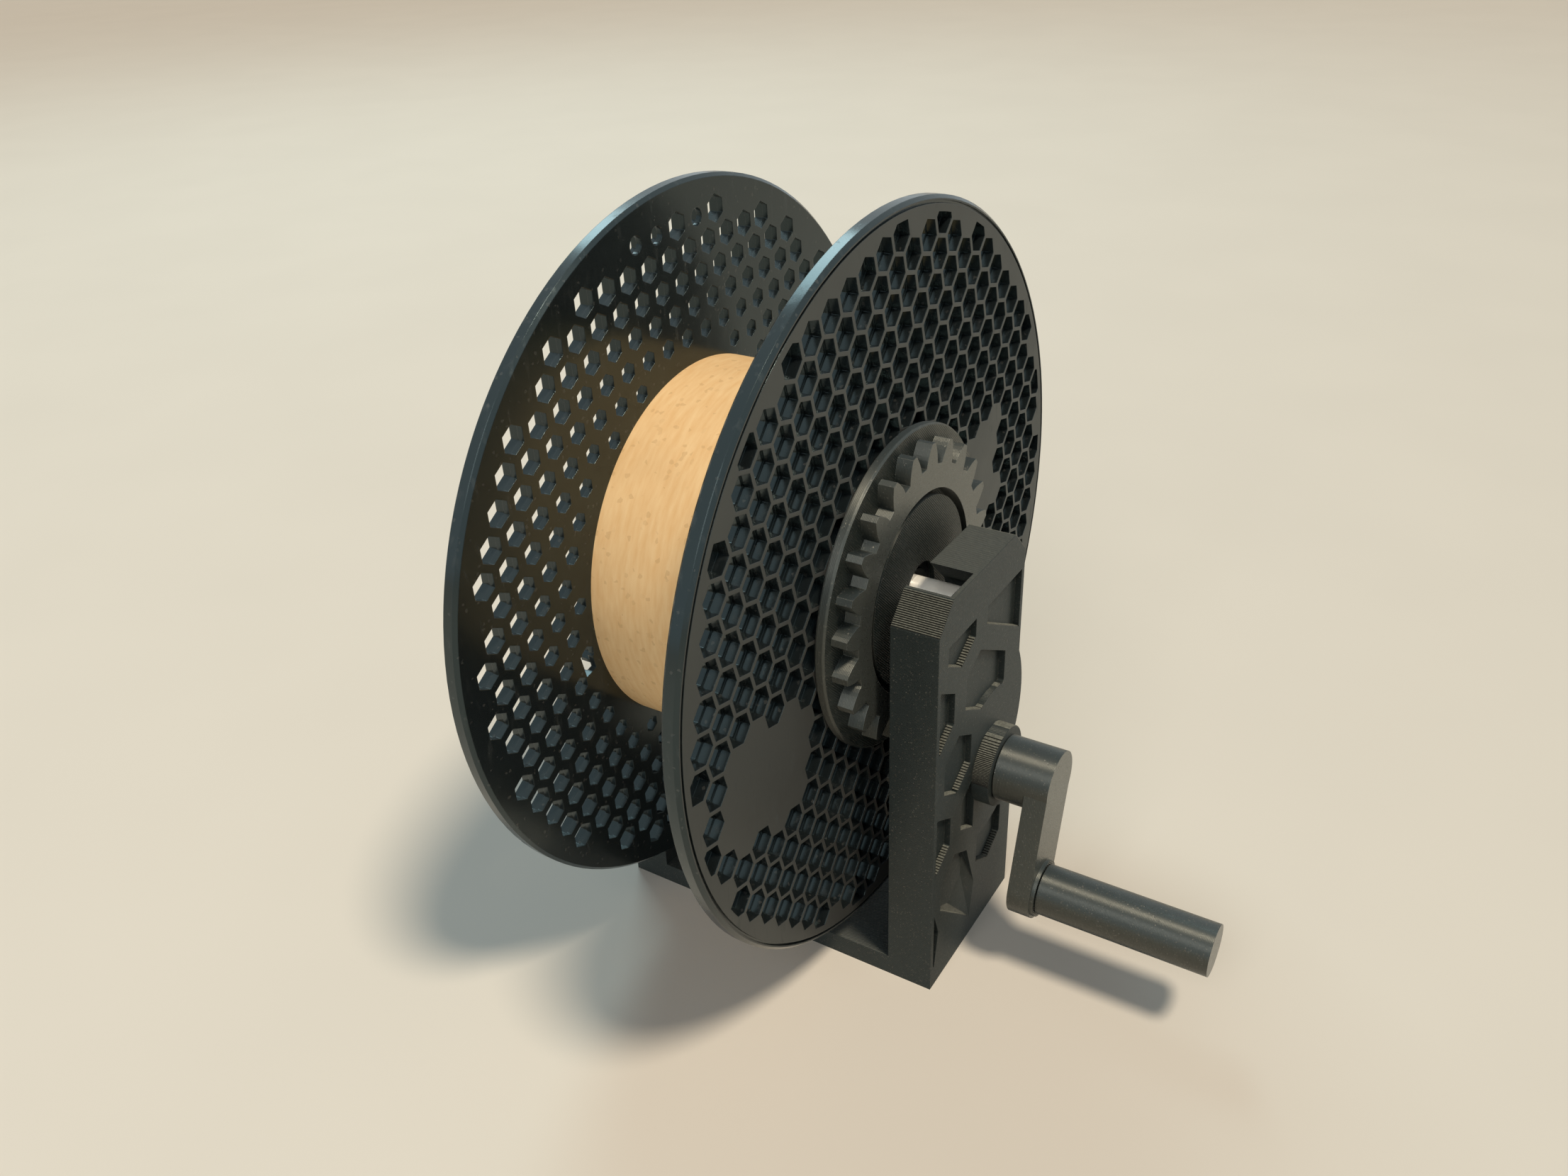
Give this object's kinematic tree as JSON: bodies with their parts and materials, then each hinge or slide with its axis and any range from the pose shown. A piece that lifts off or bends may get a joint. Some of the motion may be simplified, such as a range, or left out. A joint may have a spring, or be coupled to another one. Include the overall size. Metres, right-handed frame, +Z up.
{
  "type": "filament rewinder",
  "caption": "Hand-cranked rewinder: a printed stand holds an empty honeycomb-flanged spool on a rod and bearings, and a crank drives it through a pinion and gear.",
  "frame": {"origin": "on the floor, at the middle of the stand's underside across its width, under the middle plane of the spool", "axes": "+Z up, +Y along the axle away from the crank, +X to the right as seen from the crank"},
  "size_m": [0.2, 0.1738, 0.2127],
  "materials": {
    "printed_plastic": "satin printed layers with fine sparkle",
    "spool_plastic": "glossy moulded black",
    "core_board": "plain kraft board",
    "rod_steel": "ground bright steel",
    "bearing_steel": "polished",
    "shield_steel": "pressed sheet",
    "screw_steel": "plated"
  },
  "bodies": {
    "stand": {"frame": "printed_plastic", "axle_rod": "rod_steel", "front_bearing_inner": "bearing_steel", "rear_bearing_inner": "bearing_steel"},
    "spool": {"front_flange": "spool_plastic", "rear_flange": "spool_plastic", "spool_core": "core_board", "drive_gear": "printed_plastic", "front_hub": "printed_plastic", "rear_hub": "printed_plastic", "front_bearing_outer": "bearing_steel", "rear_bearing_outer": "bearing_steel", "front_bearing_shields": "shield_steel", "rear_bearing_shields": "shield_steel"},
    "front_balls": {"front_bearing_balls": "bearing_steel"},
    "rear_balls": {"rear_bearing_balls": "bearing_steel"},
    "crank": {"crank": "printed_plastic", "pinion": "printed_plastic", "pinion_screw": "screw_steel"},
    "grip": {"grip": "printed_plastic", "grip_screw": "screw_steel", "grip_washer": "screw_steel"}
  },
  "joints": [
    {"name": "spool_spin", "type": "hinge", "parent": "stand", "child": "spool", "pos_m": [0, 0, 0.1127], "axis": [0, 1, 0], "continuous": true},
    {"name": "crank_spin", "type": "hinge", "parent": "stand", "child": "crank", "pos_m": [0.0082, -0.065, 0.05819], "axis": [0, 1, 0], "continuous": true},
    {"name": "grip_spin", "type": "hinge", "parent": "crank", "child": "grip", "pos_m": [-0.00041, -0.09, 0.02737], "axis": [0, 1, 0], "continuous": true},
    {"name": "front_balls_spin", "type": "hinge", "parent": "stand", "child": "front_balls", "pos_m": [0, -0.0347, 0.1127], "axis": [0, 1, 0], "continuous": true},
    {"name": "rear_balls_spin", "type": "hinge", "parent": "stand", "child": "rear_balls", "pos_m": [0, 0.02815, 0.1127], "axis": [0, 1, 0], "continuous": true}
  ],
  "couplings": [
    {"joint": "crank_spin", "follows": "spool_spin", "ratio": -2.1818},
    {"joint": "front_balls_spin", "follows": "spool_spin", "ratio": 0.6323},
    {"joint": "rear_balls_spin", "follows": "spool_spin", "ratio": 0.6323}
  ]
}
